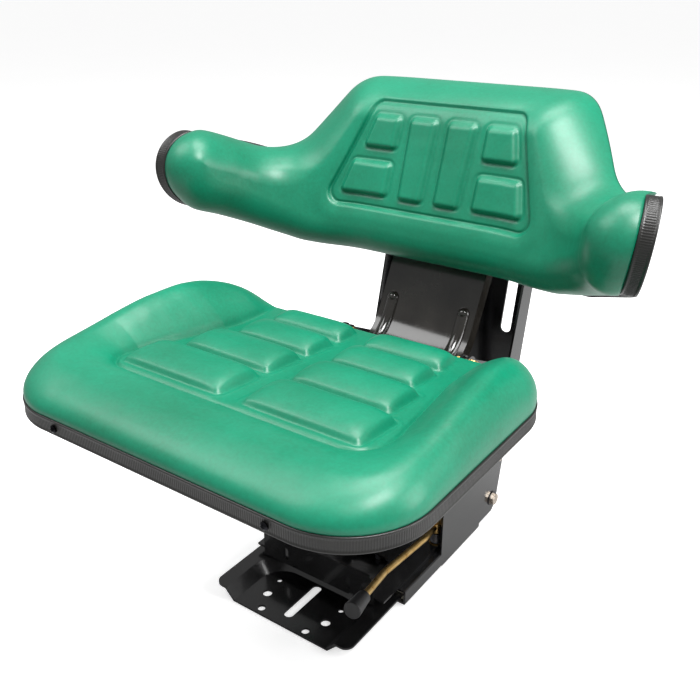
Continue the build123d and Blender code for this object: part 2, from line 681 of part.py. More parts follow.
def drill(shape, centres, radius, depth):
    """The shape less a round hole at each (x, y, z, direction)."""
    for x, y, z, direction in centres:
        shape -= facing(x, y, z, direction) * Pos(0, 0, -depth / 2 + 1) * Cylinder(radius, depth + 2)
    return shape


# ---------------------------------------------------------------- backrest
def back_band(near, far):
    """A curved wall from near to far in front of the backrest's rear face, leaning back."""
    middle = (near + far) / 2
    run = (BACK_Y - ARM_TIP_Y) / sin(ARM_TURN)
    corner_x = ARM_TIP_X - run * cos(ARM_TURN) - middle * tan(ARM_TURN / 2)
    reach = run + 30
    corner = (corner_x, BACK_Y - middle)
    full_corner_x = ARM_TIP_X - run * cos(ARM_TURN)
    tip = (full_corner_x + reach * cos(ARM_TURN) - middle * sin(ARM_TURN),
           BACK_Y - reach * sin(ARM_TURN) - middle * cos(ARM_TURN))
    points = [(-tip[0], tip[1]), (-corner[0], corner[1]), corner, tip]
    line = FilletPolyline(*points, radius=BACK_RADIUS - middle)
    low, high = 300.0, 640.0
    strip = Pos(0, BACK_LEAN * (low - BACK_LEVEL), low) * trace(line, far - near)
    height = high - low
    return extrude(strip, height * hypot(1, BACK_LEAN), dir=(0, BACK_LEAN, 1))


def back_front_view(inset):
    """The backrest's upper outline as seen from the front, open below."""
    half = [(0, BACK_TOP), (163, BACK_TOP), (230, BACK_VALLEY), (322, 530), (360, 530), (360, 250), (0, 250)]
    points = half + [(-x, z) for x, z in reversed(half[1:-1])]
    face = make_face(Polyline(*points, close=True))
    face = fillet([v for v in face.vertices() if abs(abs(v.X) - 163) < 1], 45)
    face = fillet([v for v in face.vertices() if abs(abs(v.X) - 230) < 1], 40)
    if inset:
        face = offset(face, -inset)
    return extrude(Plane.XZ * face, 500, both=True)


def back_side_view(inset):
    """The backrest's lower outline and round arm ends as seen from the side, open above."""
    tip_low, tip_mid, tip_high = (35, 431), (4, 477), (64, 529)
    edges = [Line((400, BACK_BOTTOM), (165, BACK_BOTTOM)), Line((165, BACK_BOTTOM), tip_low),
             ThreePointArc(tip_low, tip_mid, tip_high), Line(tip_high, (64, 660)),
             Line((64, 660), (400, 660)), Line((400, 660), (400, BACK_BOTTOM))]
    face = make_face(edges)
    if inset:
        face = offset(face, -inset)
    return extrude(Plane.YZ * face, 500, both=True)


def back_solid(near, far, inset):
    """The part of the backrest between two depths, drawn in by inset at its edge."""
    return back_band(near, far) & back_front_view(inset) & back_side_view(inset)


def backrest_pan():
    """Moulded shell behind the backrest, with a rim."""
    return back_solid(0, BACK_TRIM, TRIM_THICK) - back_solid(3, BACK_TRIM + 4, TRIM_THICK + 3)


def backrest_trim():
    """Plastic edge band round the shell."""
    return back_solid(0, BACK_TRIM, 0) - back_solid(-2, BACK_TRIM + 2, TRIM_THICK)


def backrest_foam():
    """Foam that fills the shell and the cover."""
    return back_solid(3, BACK_TRIM, TRIM_THICK + 3) + back_solid(BACK_TRIM, BACK_THICK - COVER, COVER)


def backrest_cover():
    """Vinyl skin over the foam."""
    return back_solid(BACK_TRIM, BACK_THICK, 0) - back_solid(BACK_TRIM - 2, BACK_THICK - COVER, COVER)


def backrest_bolts():
    """Bolts through the bracket and the shell into its inserts."""
    return [facing(*origin, back_normal()) * hex_bolt(BOLT_R, 18) for origin in back_bolt_places()]


def backrest_inserts():
    """Threaded inserts in the shell, one for each bolt."""
    sleeves = []
    inward = tuple(-v for v in back_normal())
    for origin in back_bolt_places():
        sleeve = Pos(0, 0, 13.2) * (Cylinder(INSERT_R, 11) - Cylinder(BOLT_R + 0.05, 11))
        sleeves.append(facing(*origin, inward) * sleeve)
    return sleeves


# ---------------------------------------------------------------- slide lever
def lever_rod():
    """Bent steel rod with a hub that the pivot pin passes through."""
    line = FilletPolyline(*LEVER_ROD, radius=[22, 16])
    rod = sweep(Plane(origin=line @ 0, z_dir=line % 0) * Circle(LEVER_ROD_R), path=line)
    hub = rod_z(LEVER_X, LEVER_Y, HUB_R, HUB_BOTTOM, HUB_TOP)
    return rod + hub - rod_z(LEVER_X, LEVER_Y, LEVER_PIN_R, 40, 70)


def lever_pin():
    """Pivot pin from the hub down to the pawl."""
    pin = rod_z(LEVER_X, LEVER_Y, LEVER_PIN_R, PAWL_BOTTOM, HUB_TOP)
    return pin + rod_z(LEVER_X, LEVER_Y, LEVER_PIN_R + 2.5, HUB_TOP, HUB_TOP + 2)


def lock_pawl():
    """Pawl on the pin's lower end. Its tooth faces the rack and stands just clear of it."""
    tooth_tip = RACK_X + RACK_WIDTH + 0.4
    points = [(tooth_tip, PAWL_Y - 2.5), (tooth_tip + 7, PAWL_Y - 3.5), (tooth_tip + 7, PAWL_Y - 9),
              (tooth_tip + 16, PAWL_Y - 9), (LEVER_X + 6, LEVER_Y - 8), (LEVER_X - 8, LEVER_Y + 2),
              (tooth_tip + 7, PAWL_Y + 9), (tooth_tip + 7, PAWL_Y + 3.5), (tooth_tip, PAWL_Y + 2.5)]
    blank = make_face(Polyline(*points, close=True)) + Pos(LEVER_X, LEVER_Y) * Circle(9)
    pawl = extrude(Plane.XY.offset(PAWL_BOTTOM) * blank, PAWL_THICK)
    return pawl - rod_z(LEVER_X, LEVER_Y, LEVER_PIN_R, 0, 40)


def lever_knob():
    """Tapered plastic knob on the rod's end."""
    end, before = Vector(*LEVER_ROD[-1]), Vector(*LEVER_ROD[-2])
    along = (end - before).normalized()
    start = end - along * 12
    knob = Pos(0, 0, KNOB_LENGTH / 2) * Cone(KNOB_BACK_R, KNOB_FACE_R, KNOB_LENGTH)
    knob = fillet(knob.edges().sort_by(Axis.Z)[-1], 1.6)
    knob -= Pos(0, 0, 5.9) * Cylinder(LEVER_ROD_R, 12.2)
    return Plane(origin=start, z_dir=along) * knob


# ---------------------------------------------------------------- build and write
def main():
    os.makedirs("parts", exist_ok=True)

    save("base_plate", base_plate())
    save("stop_pins", *stop_pins())
    save("lock_rack", lock_rack())
    save("rack_rivets", *rack_rivets())

    right_channel, left_channel = both_sides(channel())
    save("carriage_channel_left", right_channel)
    save("carriage_channel_right", left_channel)
    save("glide_blocks", *glide_blocks())
    save("carriage_deck", deck())
    save("front_cross_member", front_cross_member())
    save("rear_cross_member", rear_cross_member())
    plus_plate, minus_plate = both_sides(side_plate())
    save("side_plate_left", plus_plate)
    save("side_plate_right", minus_plate)
    save("back_panel", back_panel())
    save("tie_tube", tie_tube())
    save("tie_bolts", *tie_bolts())
    save("tie_washers", *tie_washers())
    save("lower_rear_pivot_bolts", *rear_pivot_bolts(LOWER_REAR))
    save("upper_rear_pivot_bolts", *rear_pivot_bolts(UPPER_REAR))
    save("rear_pivot_nuts", *rear_pivot_nuts(LOWER_REAR), *rear_pivot_nuts(UPPER_REAR))
    save("bump_stops", *bump_stops())
    save("spring_anchor_bar", spring_anchor())
    save("lever_washer", lever_washer())
    save("lever_return_spring", lever_spring())
    for name, x in (("left", SPRING_X), ("right", -SPRING_X)):
        save(f"suspension_spring_{name}", spring(x))

    tube_share = [(CROSS_TUBE_SHARE, CROSS_TUBE_R)]
    plus_arm, minus_arm = both_sides(arm_plate(LOWER_REAR, LOWER_FRONT, tube_share))
    save("lower_arm_left", plus_arm)
    save("lower_arm_right", minus_arm)
    save("lower_arm_tube", cross_tube())
    save("spring_lugs", *spring_lugs())
    save("lower_arm_bushes", *arm_bushes(LOWER_REAR, LOWER_FRONT))
    plus_link, minus_link = both_sides(arm_plate(UPPER_REAR, UPPER_FRONT))
    save("upper_link_left", plus_link)
    save("upper_link_right", minus_link)
    save("upper_link_bushes", *arm_bushes(UPPER_REAR, UPPER_FRONT))

    save("seat_bracket", seat_bracket())
    plus_side, minus_side = both_sides(link_plate())
    save("link_plate_left", plus_side)
    save("link_plate_right", minus_side)
    save("bracket_spacers", *bracket_spacers())
    save("front_pivot_bolts", *front_pivot_bolts(LOWER_FRONT), *front_pivot_bolts(UPPER_FRONT))
    save("front_pivot_nuts", *front_pivot_nuts(LOWER_FRONT), *front_pivot_nuts(UPPER_FRONT))

    screw_holes = [(x, y, SCREW_Z, direction) for x, y, direction in seat_screw_places()]
    save("seat_pan", drill(seat_pan(), screw_holes, SCREW_HOLE_R, 8))
    save("seat_trim", drill(seat_trim(), screw_holes, SCREW_HOLE_R, 8))
    save("seat_foam", seat_foam())
    save("seat_cover", seat_cover())
    save("seat_risers", *seat_risers())
    save("seat_bolts", *seat_bolts())
    save("seat_nuts", *seat_nuts())
    save("seat_trim_screws", *seat_screws())

    outward = back_normal()
    bolt_holes = [(*origin, outward) for origin in back_bolt_places()]
    save("backrest_pan", drill(backrest_pan(), bolt_holes, BOLT_HOLE_R, 12))
    save("backrest_trim", backrest_trim())
    save("backrest_foam", drill(backrest_foam(), bolt_holes, INSERT_R, 19))
    save("backrest_cover", backrest_cover())
    save("backrest_bolts", *backrest_bolts())
    save("backrest_inserts", *backrest_inserts())

    save("lever_rod", lever_rod())
    save("lever_pivot_pin", lever_pin())
    save("lock_pawl", lock_pawl())
    save("lever_knob", lever_knob())


main()
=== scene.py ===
"""Looks of a tractor or riding-mower suspension seat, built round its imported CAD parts.

The moulded vinyl cushions, their ribbed edge bands and the extension springs are meshes made here;
everything else is the CAD part with a procedural material. Lengths below are in millimetres.
"""
import json
from math import acos, asin, atan2, cos, hypot, pi, radians, sin

import bpy
import numpy as np
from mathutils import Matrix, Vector, noise


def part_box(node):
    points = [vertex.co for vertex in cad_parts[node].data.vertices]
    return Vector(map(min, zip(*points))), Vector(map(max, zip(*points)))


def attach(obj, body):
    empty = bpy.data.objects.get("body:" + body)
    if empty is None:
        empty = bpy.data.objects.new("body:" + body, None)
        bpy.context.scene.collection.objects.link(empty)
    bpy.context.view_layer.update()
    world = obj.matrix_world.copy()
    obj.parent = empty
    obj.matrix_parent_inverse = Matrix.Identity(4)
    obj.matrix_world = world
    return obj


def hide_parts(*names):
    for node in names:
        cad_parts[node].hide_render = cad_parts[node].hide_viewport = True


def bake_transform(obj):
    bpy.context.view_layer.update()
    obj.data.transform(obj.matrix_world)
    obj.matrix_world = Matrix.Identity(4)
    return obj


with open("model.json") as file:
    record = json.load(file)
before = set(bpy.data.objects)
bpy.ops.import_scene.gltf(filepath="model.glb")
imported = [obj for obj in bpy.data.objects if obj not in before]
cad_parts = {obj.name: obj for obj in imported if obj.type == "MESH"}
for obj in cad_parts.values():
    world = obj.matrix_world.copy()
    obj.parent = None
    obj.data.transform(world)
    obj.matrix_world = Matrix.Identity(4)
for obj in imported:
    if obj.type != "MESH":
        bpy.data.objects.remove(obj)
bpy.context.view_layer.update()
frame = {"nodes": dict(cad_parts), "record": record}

MM = 0.001


def node_box(name):
    """A CAD node's lowest and highest corner in millimetres."""
    low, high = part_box(name)
    return low / MM, high / MM


def node_middle(name):
    """The middle of a CAD node's box in millimetres."""
    low, high = node_box(name)
    return [(a + b) / 2 for a, b in zip(low, high)]


# ---------------------------------------------------------------- curves and small maths
def smooth(t):
    """Smooth step from 0 to 1."""
    t = np.clip(t, 0.0, 1.0)
    return t * t * (3 - 2 * t)


def srgb(red, green, blue):
    """A display colour from 0 to 255 as linear values for a shader."""
    out = []
    for value in (red, green, blue):
        v = value / 255
        out.append(v / 12.92 if v <= 0.04045 else ((v + 0.055) / 1.055) ** 2.4)
    return (*out, 1.0)


def rounded(points, radii, closed=True, step=1.5):
    """A polyline through 2-D points with each corner rounded by its radius."""
    count = len(points)
    path = []
    for i, radius in enumerate(radii):
        here = np.array(points[i], float)
        if not closed and i in (0, count - 1) or radius <= 0:
            path.append(here)
            continue
        before = np.array(points[i - 1], float) - here
        after = np.array(points[(i + 1) % count], float) - here
        before /= np.linalg.norm(before)
        after /= np.linalg.norm(after)
        half = acos(float(np.clip(before @ after, -1, 1))) / 2
        reach = radius / np.tan(half)
        middle = here + (before + after) / np.linalg.norm(before + after) * (radius / sin(half))
        first, last = here + before * reach, here + after * reach
        a0 = atan2(*(first - middle)[::-1])
        turn = atan2(*(last - middle)[::-1]) - a0
        turn = (turn + pi) % (2 * pi) - pi
        steps = max(2, int(abs(turn) * radius / step))
        for k in range(steps + 1):
            a = a0 + turn * k / steps
            path.append(middle + radius * np.array([cos(a), sin(a)]))
    return np.array(path)


def resample(columns, along, count, closed=False):
    """Rows of columns read at count even distances along the first two columns' curve."""
    line = np.array(columns, float)
    if closed:
        line = np.vstack([line, line[:1]])
    gaps = np.linalg.norm(np.diff(line[:, along], axis=0), axis=1)
    keep = np.concatenate([[True], gaps > 1e-9])
    line, gaps = line[keep], gaps[gaps > 1e-9]
    at = np.concatenate([[0], np.cumsum(gaps)])
    want = np.linspace(0, at[-1], count + (1 if closed else 0))
    if closed:
        want = want[:-1]
    return np.stack([np.interp(want, at, line[:, k]) for k in range(line.shape[1])], axis=1)


def distance_to(points, outline):
    """Distance of each 2-D point from a closed outline."""
    a = outline
    b = np.roll(outline, -1, axis=0)
    ab = b - a
    size = np.maximum((ab ** 2).sum(1), 1e-12)
    best = np.empty(len(points))
    for start in range(0, len(points), 4000):
        p = points[start:start + 4000, None, :]
        t = np.clip(((p - a) * ab).sum(2) / size, 0, 1)
        gap = p - (a + t[..., None] * ab)
        best[start:start + 4000] = np.sqrt((gap ** 2).sum(2)).min(1)
    return best


def inside(points, outline):
    """True for each 2-D point that lies inside a closed outline."""
    x, y = points[:, 0][:, None], points[:, 1][:, None]
    x0, y0 = outline[:, 0], outline[:, 1]
    x1, y1 = np.roll(x0, -1), np.roll(y0, -1)
    crosses = (y0 > y) != (y1 > y)
    with np.errstate(divide="ignore", invalid="ignore"):
        hit = x < (x1 - x0) * (y - y0) / (y1 - y0) + x0
    return (crosses & hit).sum(1) % 2 == 1


def signed(points, outline):
    """Distance from a closed outline, negative inside it."""
    gap = np.full(len(points), 1e3)
    low, high = outline.min(0) - 30, outline.max(0) + 30
    near = ((points > low) & (points < high)).all(1)
    if near.any():
        d = distance_to(points[near], outline)
        gap[near] = np.where(inside(points[near], outline), -d, d)
    return gap


def ripple(points, size, seed):
    """Soft random height from -1 to 1 with features of about the given size."""
    return np.array([noise.noise(Vector((p[0] / size, p[1] / size, seed))) for p in points])


def pillow(gap, width):
    """Height from 0 to 1 of a pad with a round edge of this width, where gap is negative inside it."""
    t = np.clip(-gap / width, 0, 1)
    return 1 - (1 - t) ** 2.3


# ---------------------------------------------------------------- mesh building
def mesh_object(name, vertices, faces, material):
    """A smooth-shaded object from vertices in millimetres."""
    mesh = bpy.data.meshes.new(name)
    mesh.from_pydata((np.array(vertices) * MM).tolist(), [], faces)
    mesh.validate()
    mesh.polygons.foreach_set("use_smooth", [True] * len(mesh.polygons))
    mesh.materials.append(material)
    obj = bpy.data.objects.new(name, mesh)
    bpy.context.scene.collection.objects.link(obj)
    return obj


def ring_faces(rings, count):
    """Quads between successive closed rings of vertices."""
    faces = []
    for r in range(rings - 1):
        base, above = r * count, (r + 1) * count
        for i in range(count):
            j = (i + 1) % count
            faces.append((base + i, base + j, above + j, above + i))
    return faces


def seam_faces(base, count, first):
    """Faces from the closed ring at base to a line of vertices that starts at first and that the
    ring's two halves share, so the skin closes without a hole."""
    half = count // 2
    line = [first + (i if i <= half else count - i) for i in range(count)]
    faces = []
    for i in range(count):
        j = (i + 1) % count
        corners = [base + i, base + j, line[j], line[i]]
        faces.append(tuple(dict.fromkeys(corners)))
    return faces


def middle_x(outline):
    """Mean x of each point and its partner across the outline, from one end of it to the other."""
    count = len(outline)
    near = np.arange(count // 2 + 1)
    return (outline[near, 0] + outline[(count - near) % count, 0]) / 2


def outward_normals(outline):
    """Unit normals of a closed anticlockwise 2-D outline."""
    along = np.roll(outline, -2, axis=0) - np.roll(outline, 2, axis=0)
    normals = np.stack([along[:, 1], -along[:, 0]], axis=1)
    return normals / np.linalg.norm(normals, axis=1)[:, None]


def padded_skin(name, outline, spine, roll, edge_rows, inner_rows, skirt, place, height, material,
                bulge=0):
    """A closed cushion over an outline. Its rings run from a hidden skirt, round the rolled edge and
    in to a spine. roll is the edge's width, skirt its (inset, height) rows, place maps flat points
    and a height to space, height gives the padded surface and the roll's own start, and bulge is
    how far each point of the edge swells out past the outline."""
    count = len(outline)
    half = count // 2
    normals = outward_normals(outline)
    ends = spine[[i if i <= half else count - i for i in range(count)]]
    toward = ends - outline
    reach = np.linalg.norm(toward, axis=1)[:, None]
    toward = toward / reach

    rows = []
    for inset, level in skirt:
        rows.append(place(outline - normals * inset, np.full(count, level)))
    turn = np.linspace(0, pi / 2, edge_rows + 1)
    steps = np.concatenate([1 - np.cos(turn), 1 + np.linspace(0, 1, inner_rows + 1)[1:]])
    edge = np.minimum(roll, 0.8 * reach)
    flat = []
    for step in steps[:-1]:
        span = edge * step if step <= 1 else edge + (reach - edge) * (step - 1)
        flat.append(outline + toward * span)
    flat.append(spine)
    points = np.vstack(flat)
    gap = distance_to(points, outline)
    start, top, width, fall = height(points)
    share = np.clip(gap / width, 0, 1)
    rise = (1 - (1 - share) ** 2) ** (0.5 * fall)
    level = start + (top - start) * rise
    # just above the band the skin comes out from inside it
    calm = np.clip(rise, 0, 1)
    tuck = 1.7 * (1 - calm) ** 4
    at_rings = np.tile(np.broadcast_to(bulge, count), len(steps) - 1)
    swell = np.concatenate([at_rings, np.zeros(len(spine))])
    tuck -= swell * (1 - calm) * (0.55 + 1.3 * calm)
    pull = np.vstack([np.tile(normals, (len(steps) - 1, 1)), np.zeros_like(spine)])
    skin = place(points - pull * tuck[:, None], level)

    vertices = [np.vstack(rows), skin]
    rings = len(skirt) + len(steps) - 1
    faces = ring_faces(rings, count)
    faces += seam_faces((rings - 1) * count, count, rings * count)
    underside = place(spine, np.full(len(spine), skirt[0][1]))
    below_start = rings * count + len(spine)
    faces += [f[::-1] for f in seam_faces(0, count, below_start)]
    vertices.append(underside)
    return mesh_object(name, np.vstack(vertices), faces, material)


BAND_WALL, BAND_BEAD, BAND_SINK = 4.0, 1.3, 0.75     # thickness, edge bead, ribbed part below it
RIB_POINTS, RIB_HEIGHT = 5, 0.38                     # outline points per rib, and its height


def edge_band(name, outline_at, place, low, high, material):
    """A ribbed plastic band along an outline, with a bead along both edges. outline_at gives the
    outline's points and outward normals at a height."""
    middle, reach = (low + high) / 2, (high - low) / 2
    profile = [(BAND_WALL - 0.1, low + 0.5), (BAND_WALL - 1.6, low), (BAND_BEAD, low),
               (0.35, low + 0.35), (0.0, low + BAND_BEAD), (0.25, low + 2 * BAND_BEAD - 0.3),
               (BAND_SINK, low + 2 * BAND_BEAD + 0.2)]
    groove = [(BAND_SINK, middle + reach * share) for share in (-0.45, 0.0, 0.45)]
    mirrored = [(inset, 2 * middle - level) for inset, level in reversed(profile)]
    section = profile + groove + mirrored
    ribbed = range(len(profile) - 1, len(profile) + len(groove) + 1)   # rows that carry ribs
    rows = []
    for k, (inset, level) in enumerate(section):
        points, normals = outline_at(level)
        count = len(points)
        depth = np.full(count, inset)
        if k in ribbed:
            wave = np.cos(2 * pi * np.arange(count) / RIB_POINTS + (k % 2) * 0.9)
            depth = depth - RIB_HEIGHT * (0.5 + 0.5 * wave)
        rows.append(place(points - normals * depth[:, None], np.full(count, level)))
    rings = len(section)
    faces = ring_faces(rings, count)
    last = (rings - 1) * count
    for i in range(count):
        j = (i + 1) % count
        faces.append((last + i, last + j, j, i))
    return mesh_object(name, np.vstack(rows), faces, material)


# ---------------------------------------------------------------- materials
def new_material(name):
    """A material with its node tree and its shader."""
    material = bpy.data.materials.new(name)
    material.use_nodes = True
    tree = material.node_tree
    return material, tree, tree.nodes["Principled BSDF"]


def tree_node(tree, kind, **settings):
    """A shader node with its properties or input values set."""
    made = tree.nodes.new(kind)
    for key, value in settings.items():
        if hasattr(made, key):
            setattr(made, key, value)
        else:
            made.inputs[key].default_value = value
    return made


def object_space(tree):
    """Texture coordinates fixed to the piece, in metres."""
    return tree_node(tree, "ShaderNodeTexCoord").outputs["Object"]


def noise_texture(tree, vector, scale, detail=3.0, roughness=0.5):
    """Smooth noise from 0 to 1."""
    made = tree_node(tree, "ShaderNodeTexNoise", Scale=scale, Detail=detail, Roughness=roughness)
    tree.links.new(vector, made.inputs["Vector"])
    return made.outputs["Fac"]


def cells(tree, vector, scale, feature="F1"):
    """Distance to the nearest of many scattered points, for a grain."""
    made = tree_node(tree, "ShaderNodeTexVoronoi", feature=feature, Scale=scale)
    tree.links.new(vector, made.inputs["Vector"])
    return made.outputs["Distance"]


def ramp(tree, value, stops):
    """A colour ramp from (position, colour) stops."""
    made = tree.nodes.new("ShaderNodeValToRGB")
    elements = made.color_ramp.elements
    while len(elements) < len(stops):
        elements.new(0.5)
    for element, (position, colour) in zip(elements, stops):
        element.position = position
        element.color = colour
    tree.links.new(value, made.inputs["Fac"])
    return made.outputs["Color"]


def spread(tree, value, low, high):
    """A value from 0 to 1 mapped to low to high."""
    made = tree_node(tree, "ShaderNodeMapRange")
    made.inputs["To Min"].default_value = low
    made.inputs["To Max"].default_value = high
    tree.links.new(value, made.inputs["Value"])
    return made.outputs["Result"]


def bump(tree, shader, *layers):
    """Stacked bumps: each layer is (height, strength, distance in metres)."""
    below = None
    for height, strength, distance in layers:
        made = tree_node(tree, "ShaderNodeBump", Strength=strength, Distance=distance)
        tree.links.new(height, made.inputs["Height"])
        if below is not None:
            tree.links.new(below, made.inputs["Normal"])
        below = made.outputs["Normal"]
    tree.links.new(below, shader.inputs["Normal"])


def vinyl():
    """Soft green moulded vinyl with a fine leather grain."""
    material, tree, shader = new_material("green_vinyl")
    where = object_space(tree)
    broad = noise_texture(tree, where, 7, 4, 0.55)
    fine = noise_texture(tree, where, 260, 3, 0.6)
    mix = tree_node(tree, "ShaderNodeMix", data_type="FLOAT")
    mix.inputs["Factor"].default_value = 0.35
    tree.links.new(broad, mix.inputs["A"])
    tree.links.new(fine, mix.inputs["B"])
    colour = ramp(tree, mix.outputs["Result"], [(0.30, VINYL_DARK), (0.72, VINYL_LIGHT)])
    tree.links.new(colour, shader.inputs["Base Color"])
    rubbed = noise_texture(tree, where, 30, 4)
    tree.links.new(spread(tree, rubbed, 0.36, 0.50), shader.inputs["Roughness"])
    shader.inputs["Specular IOR Level"].default_value = 0.42
    shader.inputs["Coat Weight"].default_value = 0.20
    shader.inputs["Coat Roughness"].default_value = 0.26
    grain = cells(tree, where, 1100, "SMOOTH_F1")
    bump(tree, shader, (noise_texture(tree, where, 55, 3), 0.10, 0.0006), (grain, 0.22, 0.00016),
         (fine, 0.15, 0.0001))
    return material


def gloss_paint(name, colour, rough=(0.16, 0.30)):
    """Black stoved enamel on steel: slight orange peel, dust and rubbed patches."""
    material, tree, shader = new_material(name)
    where = object_space(tree)
    patches = noise_texture(tree, where, 18, 6, 0.62)
    dust = noise_texture(tree, where, 420, 2, 0.7)
    dusty = tuple(3.0 * c + 0.004 for c in colour[:3]) + (1.0,)
    tint = ramp(tree, patches, [(0.35, colour), (0.80, dusty)])
    tree.links.new(tint, shader.inputs["Base Color"])
    tree.links.new(spread(tree, patches, *rough), shader.inputs["Roughness"])
    shader.inputs["Specular IOR Level"].default_value = 0.55
    shader.inputs["Coat Weight"].default_value = 0.35
    shader.inputs["Coat Roughness"].default_value = 0.08
    bump(tree, shader, (noise_texture(tree, where, 240, 2), 0.10, 0.0003), (dust, 0.05, 0.00008))
    return material


def bare_metal(name, dark, light, rough=(0.24, 0.42), scale=90):
    """Plated or bare steel with uneven plating and fine scratches."""
    material, tree, shader = new_material(name)
    where = object_space(tree)
    patches = noise_texture(tree, where, scale, 5, 0.6)
    tree.links.new(ramp(tree, patches, [(0.3, dark), (0.7, light)]), shader.inputs["Base Color"])
    tree.links.new(spread(tree, patches, *rough), shader.inputs["Roughness"])
    shader.inputs["Metallic"].default_value = 1.0
    bump(tree, shader, (noise_texture(tree, where, 900, 3, 0.7), 0.12, 0.00008))
    return material


def moulded(name, dark, light, rough, grain_scale, grain_strength=0.25):
    """Moulded plastic or rubber with a fine spark-eroded grain."""
    material, tree, shader = new_material(name)
    where = object_space(tree)
    tone = noise_texture(tree, where, 22, 5, 0.6)
    tree.links.new(ramp(tree, tone, [(0.3, dark), (0.75, light)]), shader.inputs["Base Color"])
    tree.links.new(spread(tree, noise_texture(tree, where, 70, 3), *rough), shader.inputs["Roughness"])
    bump(tree, shader, (cells(tree, where, grain_scale), grain_strength, 0.0002),
         (noise_texture(tree, where, 400, 2), 0.12, 0.0001))
    return material


VINYL_DARK = srgb(0, 99, 70)
VINYL_LIGHT = srgb(0, 129, 97)

materials = {
    "green_vinyl": vinyl(),
    "black_gloss_paint": gloss_paint("black_gloss_paint", srgb(12, 12, 13), (0.14, 0.28)),
    "bracket_paint": gloss_paint("bracket_paint", srgb(24, 22, 19), (0.12, 0.22)),
    "zinc_yellow": bare_metal("zinc_yellow", srgb(176, 138, 74), srgb(222, 190, 128), (0.22, 0.36)),
    "light_zinc": bare_metal("light_zinc", srgb(186, 168, 150), srgb(226, 214, 200), (0.2, 0.34)),
    "dark_steel": bare_metal("dark_steel", srgb(88, 88, 92), srgb(140, 141, 146), (0.28, 0.45)),
    "black_screw": bare_metal("black_screw", srgb(20, 20, 22), srgb(46, 46, 50), (0.18, 0.3)),
    "textured_trim": moulded("textured_trim", srgb(20, 20, 19), srgb(36, 35, 33), (0.26, 0.40), 900,
                             0.35),
    "black_shell": moulded("black_shell", srgb(24, 24, 25), srgb(38, 38, 40), (0.42, 0.58), 1300, 0.3),
    "black_plastic": moulded("black_plastic", srgb(22, 22, 23), srgb(40, 40, 42), (0.30, 0.44), 1500,
                             0.15),
    "nylon": moulded("nylon", srgb(196, 190, 172), srgb(222, 217, 202), (0.38, 0.5), 800, 0.1),
    "seat_foam": moulded("seat_foam", srgb(196, 184, 150), srgb(220, 210, 180), (0.8, 0.9), 500, 0.4),
    "rubber": moulded("rubber", srgb(20, 20, 20), srgb(34, 33, 32), (0.65, 0.8), 600, 0.35),
    "bronze": bare_metal("bronze", srgb(132, 92, 50), srgb(178, 132, 78), (0.3, 0.45)),
}

NODE_FINISH = {
    "bracket_paint": ["seat_bracket"],
    "black_screw": ["seat_trim_screws"],
    "light_zinc": ["tie_bolts", "lower_rear_pivot_bolts", "upper_rear_pivot_bolts"],
    "black_shell": ["backrest_pan", "seat_pan"],
}


def finish_cad_nodes():
    """Give every carried-over CAD node the material of its slot, or its own."""
    slots = {part["node"]: part["material_slot"] for part in frame["record"]["subparts"]}
    for finish, names in NODE_FINISH.items():
        for name in names:
            slots[name] = finish
    for name, obj in frame["nodes"].items():
        obj.data.materials.clear()
        obj.data.materials.append(materials[slots[name]])


finish_cad_nodes()

# ---------------------------------------------------------------- seat cushion
trim_low, trim_high = node_box("seat_trim")
SEAT_HALF, SEAT_FRONT, SEAT_REAR = trim_high.x, trim_low.y, trim_high.y
BAND_LOW, BAND_HIGH = trim_low.z, trim_high.z
FRONT_CORNER, REAR_CORNER = 88.0, 86.0

# the border is the crease that runs round the pads
BORDER_FRONT_Y = -232.0
BORDER_FRONT_X, BORDER_REAR_X = 174.0, 148.0
BORDER_CORNER = 34.0
CREST_SIDE_Z, CREST_FRONT_Z = 369.0, 343.0
PAD_ROWS = [(-221.0, -151.0, 13.0, 160.0), (-145.0, -81.0, 13.0, 143.0),
            (-76.0, -19.0, 13.0, 127.0), (-14.0, 32.0, 13.0, 126.0)]   # y front and rear, x in and out
PAD_RISE = 15.5


def seat_outline(count):
    """The seat's plan as points that start at the middle of its -X side and run along the front."""
    low, high = -SEAT_HALF, SEAT_HALF
    middle = (SEAT_FRONT + SEAT_REAR) / 2
    corners = [(low, middle), (low, SEAT_FRONT), (high, SEAT_FRONT), (high, middle)]
    front = rounded(corners, [0, FRONT_CORNER, FRONT_CORNER, 0], closed=False)
    corners = [(high, middle), (high, SEAT_REAR), (low, SEAT_REAR), (low, middle)]
    rear = rounded(corners, [0, REAR_CORNER, REAR_CORNER, 0], closed=False)
    half = count // 2
    front = resample(front, [0, 1], half + 1)
    rear = resample(rear, [0, 1], half + 1)
    return np.vstack([front[:-1], rear[:-1]])


def pad_height(points, front, rear, inner, outer):
    """Height of one row's pads: a gentle round climb to a crest near the rear, full round ends."""
    across = np.abs(points[:, 0])
    middle, half = (inner + outer) / 2, (outer - inner) / 2
    lean = (points[:, 1] - front) / (rear - front)
    ends = np.clip(1 - np.abs((across - middle) / half) ** 7.0, 0, 1) ** 0.55
    ahead = 1 - np.clip((0.66 - lean) / 0.66, 0, 1) ** 2.1
    behind = 1 - np.clip((lean - 0.66) / 0.34, 0, 1) ** 2.6
    return ends * np.clip(np.where(lean < 0.66, ahead, behind), 0, 1) ** 0.62


